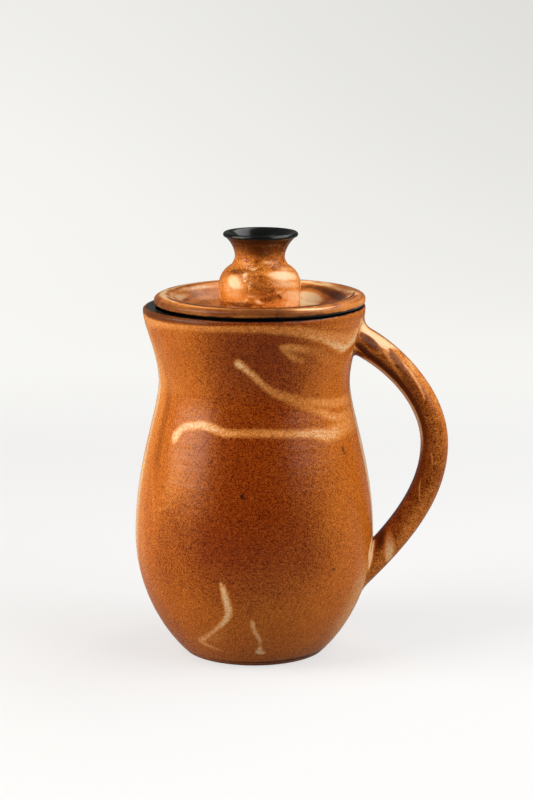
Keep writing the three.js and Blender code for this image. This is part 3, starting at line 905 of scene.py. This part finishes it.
def make_knob():
    outer = spaced(knob_line, knob_step)
    thickness = knob_wall + (knob_lip_thickness - knob_wall) * ease(knob_neck[1], knob_height, outer[:, 1])
    inner = inside_of(outer, thickness)
    under = np.linspace((0, 0), (knob_foot_radius - knob_foot_inset, 0), 8)
    flare = directions(outer)[-1]
    lip = lip_arc(outer[-1], inner[-1], flare, knob_lip_thickness / 2, squareness=2, steps=12)
    hollow = down_to_floor(inner, knob_floor, knob_floor, knob_inner_step)
    section = np.vstack([under, outer, lip, hollow])
    run = run_along(section)
    black_from = run[len(under) + len(outer) - 1] - 0.4
    on_outside = (run > run[len(under)]) & (run < run[len(under) + len(outer)])

    def depth(ring, angle):
        height = ring[:, 1:]
        lines = throwing_lines(height, angle, knob_pitch)
        slow = knob_wander * out_of_round(height * 3, angle + 0.4)
        calm = ease(0, 3, height) * ease(knob_height, knob_height - 4, height)
        return np.where(on_outside[1:-1, None], knob_groove * calm * lines + slow * calm, 0)

    points, faces = revolve(section, knob_around, (lid_shift, 0), knob_low[2], depth)
    points[:, 0] += knob_lean * ease(knob_shoulder[1], knob_height, points[:, 2] - knob_low[2])
    outside = row_values(on_outside * 1.0, knob_around)
    attributes = {
        "tone": knob_tone,
        "cream_and_highlight": stroke_cover(points, knob_cream_and_highlights, on_knob) * outside,
        "dark": stroke_cover(points, knob_dark_and_shade, on_knob) * outside,
        "pit_and_shadow": 0,
        "black": row_values(run - black_from, knob_around),
        "bare": 0,
    }
    return make_object("glazed_knob", points, faces, attributes)


# Materials

def srgb(red, green, blue):
    """A screen colour, 0 to 255, as the linear colour that shaders take."""
    def linear(value):
        value /= 255
        return value / 12.92 if value <= 0.04045 else ((value + 0.055) / 1.055) ** 2.4
    return (linear(red), linear(green), linear(blue), 1)


class Graph:
    """Short calls that add the nodes of one material or world and link them."""

    def __init__(self, owner):
        owner.use_nodes = True
        self.tree = owner.node_tree
        self.tree.nodes.clear()

    def put(self, socket, value):
        if isinstance(value, bpy.types.NodeSocket):
            self.tree.links.new(value, socket)
        else:
            socket.default_value = value

    def add(self, kind, inputs=None, **settings):
        node = self.tree.nodes.new(kind)
        for name, value in settings.items():
            setattr(node, name, value)
        for name, value in (inputs or {}).items():
            self.put(node.inputs[name], value)
        return node

    def math(self, operation, *values):
        return self.add("ShaderNodeMath", dict(enumerate(values)), operation=operation).outputs[0]

    def plus(self, a, b):
        return self.math("ADD", a, b)

    def minus(self, a, b):
        return self.math("SUBTRACT", a, b)

    def times(self, a, b):
        return self.math("MULTIPLY", a, b)

    def swing(self, value, amount):
        """A noise, which wanders about a half, as a swing about 0."""
        return self.times(self.minus(value, 0.5), amount)

    def step(self, value, low, high, to_low=0, to_high=1):
        """value from low to high, eased from to_low to to_high."""
        inputs = {"Value": value, "From Min": low, "From Max": high, "To Min": to_low, "To Max": to_high}
        return self.add("ShaderNodeMapRange", inputs, interpolation_type="SMOOTHSTEP").outputs["Result"]

    def mix(self, factor, a, b, blend="MIX"):
        """A mix of two colours."""
        inputs = {0: factor, 6: a, 7: b}
        return self.add("ShaderNodeMix", inputs, data_type="RGBA", blend_type=blend).outputs[2]

    def blend(self, factor, a, b):
        """A mix of two numbers."""
        return self.add("ShaderNodeMix", {0: factor, 2: a, 3: b}, data_type="FLOAT").outputs[0]

    def noise(self, vector, size, detail=2, roughness=0.5, distortion=0):
        """Noise whose features are about size across, in the vector's units."""
        inputs = {"Vector": vector, "Scale": 1 / size, "Detail": detail, "Roughness": roughness}
        inputs["Distortion"] = distortion
        return self.add("ShaderNodeTexNoise", inputs).outputs["Fac"]

    def attribute(self, name):
        return self.add("ShaderNodeAttribute", attribute_name=name).outputs["Fac"]


pale_colour = srgb(230, 144, 66)
cream_and_highlight_colour = srgb(246, 209, 160)
deep_colour = srgb(74, 32, 12)
pit_and_shadow_colour = srgb(40, 16, 6)
stain_and_shade_colour = srgb(56, 24, 9)
black_colour = srgb(14, 14, 13)
clay_colour = srgb(176, 108, 70)

# What the glaze's grain and clots do to its colour, and how large they and its wider patches are, in mm
grain_bright = (1.45, 1.95, 3.0, 1)
grain_dim = (0.45, 0.34, 0.28, 1)
clot_dim = (0.6, 0.5, 0.42, 1)
grain_size = 0.66
clot_size = 1.7
patch_size = 8
drift_size = 34
black_edge_size = 4


def glaze(name, brown, light, thin, *, roughness, shine, mottling, ragged_edge, grit, bleed_run):
    """An iron-speckled glaze that breaks from brown over light to thin, under marks read from the mesh:
    pale slip with painted highlights and reflections, dark pools with painted shade, pits with a painted
    shadow under the foot, the black glaze, whose attribute is how far past its edge, and bare clay. On the
    body and the strap the tone it reads holds painted light and shade. shine is the strength of the mirror
    reflection, mottling how patchy the tone is, ragged_edge how torn the marks are, grit how much the grain
    shows, and bleed_run how far the black stains the glaze, on the knob partly as painted shade under its
    lip."""
    material = bpy.data.materials.new(name)
    g = Graph(material)
    place = g.add("ShaderNodeTexCoord").outputs["Object"]
    mm = g.add("ShaderNodeVectorMath", {0: place, 1: (1 / MM,) * 3}, operation="MULTIPLY").outputs[0]
    flat = g.add("ShaderNodeVectorMath", {0: mm, 1: (1, 1, 1.5)}, operation="MULTIPLY").outputs[0]

    drift = g.noise(mm, drift_size, 3, 0.55, 0.6)
    patch = g.noise(flat, patch_size, 3, 0.55, 0.8)
    grain = g.noise(flat, grain_size, 2, 0.6)
    clots = g.noise(flat, clot_size, 2, 0.6)
    tone = g.plus(g.attribute("tone"), g.swing(drift, 0.4))
    tone = g.plus(tone, g.swing(patch, mottling * 2.2))
    colour = g.mix(g.step(tone, 0, 0.8), brown, light)
    colour = g.mix(g.step(tone, 0.8, 1.05), colour, thin)

    grit = g.step(tone, 0.2, 1.0, grit, grit * 0.55)
    bright = g.times(g.step(grain, 0.47, 0.64), grit)
    dim = g.times(g.step(grain, 0.52, 0.36), grit)
    blotch = g.times(g.step(clots, 0.50, 0.32), grit)
    colour = g.mix(bright, colour, grain_bright, "MULTIPLY")
    colour = g.mix(dim, colour, grain_dim, "MULTIPLY")
    colour = g.mix(blotch, colour, clot_dim, "MULTIPLY")
    specks = g.add("ShaderNodeTexVoronoi", {"Vector": mm, "Scale": 0.42}, feature="F1")
    chance = g.add("ShaderNodeSeparateColor", {"Color": specks.outputs["Color"]}).outputs[0]
    speck = g.times(g.step(specks.outputs["Distance"], 0.16, 0.08), g.step(chance, 0.6, 0.75))
    colour = g.mix(g.times(speck, grit), colour, deep_colour)

    ragged = g.swing(grain, 0.4 + 1.2 * ragged_edge)
    torn = g.plus(ragged, g.swing(clots, 0.7 + 0.5 * ragged_edge))
    dark = g.attribute("dark")
    cream_and_highlight = g.times(g.attribute("cream_and_highlight"), g.step(dark, 0.08, 0.6, 1, 0))
    cover = g.plus(cream_and_highlight, g.times(torn, cream_and_highlight))
    colour = g.mix(g.step(cover, 0.05, 0.7, 0, 0.9), colour, pale_colour)
    cream_and_highlight_mask = g.step(cover, 0.5, 1.1)
    colour = g.mix(cream_and_highlight_mask, colour, cream_and_highlight_colour)
    dark_mask = g.step(g.plus(dark, g.times(torn, dark)), 0.05, 1, 0, 0.85)
    colour = g.mix(dark_mask, colour, deep_colour)
    pit_and_shadow = g.attribute("pit_and_shadow")
    colour = g.mix(pit_and_shadow, colour, pit_and_shadow_colour)

    wander = g.swing(g.noise(mm, black_edge_size), 1.2)
    black_run = g.plus(g.attribute("black"), wander)
    bleed_and_shade = g.step(black_run, -bleed_run, -0.1 * bleed_run, 0, 0.9)
    colour = g.mix(bleed_and_shade, colour, stain_and_shade_colour)
    black = g.step(black_run, -0.25, 0.25)
    colour = g.mix(black, colour, black_colour)
    bare = g.attribute("bare")
    colour = g.mix(bare, colour, clay_colour)

    matt = g.step(grain, 0.3, 0.7, roughness - 0.05, roughness + 0.07)
    matt = g.minus(matt, g.times(cream_and_highlight_mask, 0.06))
    matt = g.blend(black, matt, 0.2)
    matt = g.blend(bare, matt, 0.85)

    skin = g.plus(g.times(grain, 0.35), g.times(clots, 0.65))
    skin = g.minus(skin, g.times(pit_and_shadow, 1.5))
    skin = g.times(skin, g.step(black, 0, 1, 1, 0.25))
    bump = g.add("ShaderNodeBump", {"Height": skin, "Strength": 0.35, "Distance": 0.00025}).outputs[0]

    mirror = g.step(black, 0, 1, shine, 0.32)
    inputs = {"Base Color": colour, "Roughness": matt, "Normal": bump, "IOR": 1.5}
    inputs["Specular IOR Level"] = mirror
    shader = g.add("ShaderNodeBsdfPrincipled", inputs).outputs[0]
    g.add("ShaderNodeOutputMaterial", {"Surface": shader})
    return material


def sweep_material():
    """Near the pot a diffuse floor that keeps its shadow, with some light of its own so that it is nearly
    white. Farther back only that light, which falls off to the right and up the backdrop. The camera's rays
    and those that glass sends see all of it, and a gloss's see less."""
    material = bpy.data.materials.new("pale_sweep")
    g = Graph(material)
    place = g.add("ShaderNodeTexCoord").outputs["Object"]
    split = g.add("ShaderNodeSeparateXYZ", {"Vector": place}).outputs
    away = g.plus(split["Y"], split["Z"])
    far = g.step(g.math("ABSOLUTE", away), 0.3, 0.75)
    fall_left = g.step(away, 1.2, 2.0, 0, 0.10)
    fall_right = g.step(away, 0.4, 1.9, 0, 0.22)
    fall = g.blend(g.step(split["X"], -0.45, 0.45), fall_left, fall_right)
    level = g.blend(far, floor_glow, g.minus(backdrop_glow, fall))
    path = g.add("ShaderNodeLightPath").outputs
    seen = g.math("MAXIMUM", path["Is Camera Ray"], path["Is Transmission Ray"])
    seen = g.math("MAXIMUM", seen, g.times(path["Is Glossy Ray"], glossy_share))
    tint = g.mix(g.step(away, 0.2, 1.0), floor_tint, backdrop_tint)
    glow = g.add("ShaderNodeEmission", {"Color": tint, "Strength": g.times(level, seen)}).outputs[0]
    grey = g.mix(far, (floor_grey, floor_grey, floor_grey, 1), (0, 0, 0, 1))
    diffuse = g.add("ShaderNodeBsdfDiffuse", {"Color": grey}).outputs[0]
    both = g.add("ShaderNodeAddShader", {0: diffuse, 1: glow}).outputs[0]
    g.add("ShaderNodeOutputMaterial", {"Surface": both})
    return material


# Stage

def make_stage():
    """A floor that turns up into a backdrop in one sweep."""
    half_width = 0.95
    front, back, height, turn = -2.2, 1.6, 2.6, 0.7
    line = [(front, 0.0)]
    quarter = np.linspace(0, math.pi / 2, 40)
    line += [(back - turn + turn * math.sin(a), turn - turn * math.cos(a)) for a in quarter]
    line += [(back, height)]
    points = np.array([(side, y, z) for y, z in line for side in (-half_width, half_width)]) / MM
    faces = [(2 * i, 2 * i + 1, 2 * i + 3, 2 * i + 2) for i in range(len(line) - 1)]
    sweep = make_object("sweep", points, faces, {})
    sweep.data.materials.append(sweep_material())


def around_pot(azimuth, distance, height):
    turn = math.radians(azimuth)
    return (distance * math.cos(turn), distance * math.sin(turn), height)


def area_light(name, place, size, power, colour=(1, 1, 1)):
    """A lamp that looks at the pot's middle."""
    light = bpy.data.lights.new(name, "AREA")
    light.shape = "RECTANGLE"
    light.size, light.size_y = size
    light.energy = power
    light.color = colour
    lamp = bpy.data.objects.new(name, light)
    lamp.location = place
    towards_pot = lamp.location.copy()
    towards_pot.x, towards_pot.y, towards_pot.z = (t - p for t, p in zip(lit_point, place))
    lamp.rotation_euler = towards_pot.to_track_quat("-Z", "Y").to_euler()
    scene.collection.objects.link(lamp)


def make_world():
    """A dim room, brighter behind the pot than before it. The camera sees it as white as the backdrop."""
    world = bpy.data.worlds.new("studio")
    g = Graph(world)
    place = g.add("ShaderNodeTexCoord").outputs["Generated"]
    behind = g.add("ShaderNodeSeparateXYZ", {"Vector": place}).outputs["Y"]
    room = g.step(behind, -0.6, 0.5, room_front, room_back)
    level = g.blend(g.add("ShaderNodeLightPath").outputs["Is Camera Ray"], room, room_white)
    background = g.add("ShaderNodeBackground", {"Color": room_tint, "Strength": level}).outputs[0]
    g.add("ShaderNodeOutputWorld", {"Surface": background})
    scene.world = world


def make_camera():
    lens = bpy.data.cameras.new("camera")
    lens.lens = camera_lens
    lens.sensor_width = camera_sensor
    camera = bpy.data.objects.new("camera", lens)
    camera.location = camera_place
    camera.rotation_euler = (math.radians(90 - camera_pitch), 0, 0)
    scene.collection.objects.link(camera)
    scene.camera = camera


# Everything in its place

make_camera()
make_world()
make_stage()
area_light("left_box", around_pot(-163, 0.95, 0.33), (0.75, 0.3), 7.2, warm_light)
area_light("left_high_box", around_pot(-156, 0.75, 0.9), (0.7, 0.6), 6)
area_light("right_box", around_pot(-22, 0.9, 0.64), (1.0, 0.7), 10.5)
area_light("top_box", around_pot(38, 0.75, 1.15), (0.9, 0.7), 6)

body_glaze = glaze(
    "body_glaze", srgb(137, 52, 4), srgb(195, 101, 25), srgb(220, 142, 66),
    roughness=0.28, shine=0.16, mottling=0, ragged_edge=1, grit=1.02, bleed_run=0.9)
handle_glaze = glaze(
    "handle_glaze", srgb(136, 56, 4), srgb(202, 112, 38), srgb(226, 150, 74),
    roughness=0.28, shine=0.1, mottling=0.3, ragged_edge=0.6, grit=1.3, bleed_run=2.4)
lid_glaze = glaze(
    "lid_glaze", srgb(136, 62, 16), srgb(206, 124, 56), srgb(228, 158, 92),
    roughness=0.22, shine=0.16, mottling=0.6, ragged_edge=0.1, grit=0.3, bleed_run=0.8)
# The knob's long bleed_run darkens its neck under the flared lip: partly the black glaze fading into the
# brown, partly painted shade.
knob_glaze = glaze(
    "knob_glaze", srgb(138, 54, 7), srgb(210, 120, 42), srgb(240, 182, 120),
    roughness=0.24, shine=0.16, mottling=1, ragged_edge=0, grit=1.1, bleed_run=13)

for make, material, node, body, slot in (
    (make_body, body_glaze, "vessel", "pitcher_body", "body_glaze"),
    (make_handle, handle_glaze, "handle", "pitcher_body", "handle_glaze"),
    (make_lid, lid_glaze, "lid", "lid_body", "lid_glaze"),
    (make_knob, knob_glaze, "knob", "lid_body", "knob_glaze"),
):
    made = make()
    made.data.materials.append(material)
    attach(made, body)
    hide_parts(node)

scene.view_settings.view_transform = "Standard"
